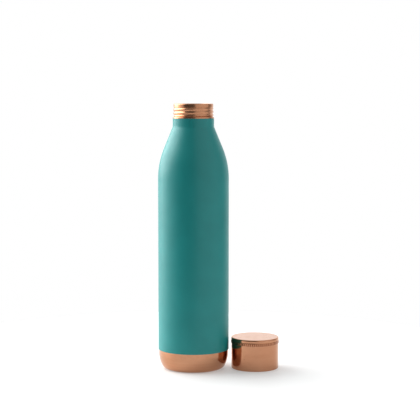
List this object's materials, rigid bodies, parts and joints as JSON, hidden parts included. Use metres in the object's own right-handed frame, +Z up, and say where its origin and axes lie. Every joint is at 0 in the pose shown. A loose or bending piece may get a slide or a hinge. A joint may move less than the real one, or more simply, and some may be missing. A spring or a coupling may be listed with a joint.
{
  "type": "copper water bottle",
  "caption": "Slender copper water bottle with an enamelled body, bare copper base and threaded neck, and its copper screw cap standing beside it.",
  "frame": {"origin": "centre of the bottle's foot ring, on the surface that the bottle stands on", "axes": "+Z up along the bottle's axis, +X from the bottle towards the cap that stands beside it, +Y away from a viewer who has the cap on the right"},
  "size_m": [0.1235, 0.072, 0.2706],
  "materials": {
    "base_copper": "polished",
    "body_copper": "satin",
    "neck_copper": "polished",
    "cap_copper": "polished",
    "liner_copper": "satin",
    "braze": "satin",
    "enamel": "satin",
    "silicone": "matte"
  },
  "bodies": {
    "bottle": {"base_cup": "base_copper", "base_braze": "braze", "body_shell": "body_copper", "enamel_coat": "enamel", "neck_ring": "neck_copper", "neck_braze": "braze"},
    "washer": {"cap_gasket": "silicone"},
    "cap": {"cap_skirt": "cap_copper", "cap_top": "cap_copper", "cap_liner": "liner_copper"}
  },
  "joints": [
    {"name": "cap_lift", "type": "slide", "parent": "bottle", "child": "washer", "axis": [0, 0, 1], "range_m": [0, 0.28]},
    {"name": "cap_turn", "type": "hinge", "parent": "washer", "child": "cap", "pos_m": [0.06295, 0, 0], "axis": [0, 0, 1], "continuous": true}
  ]
}
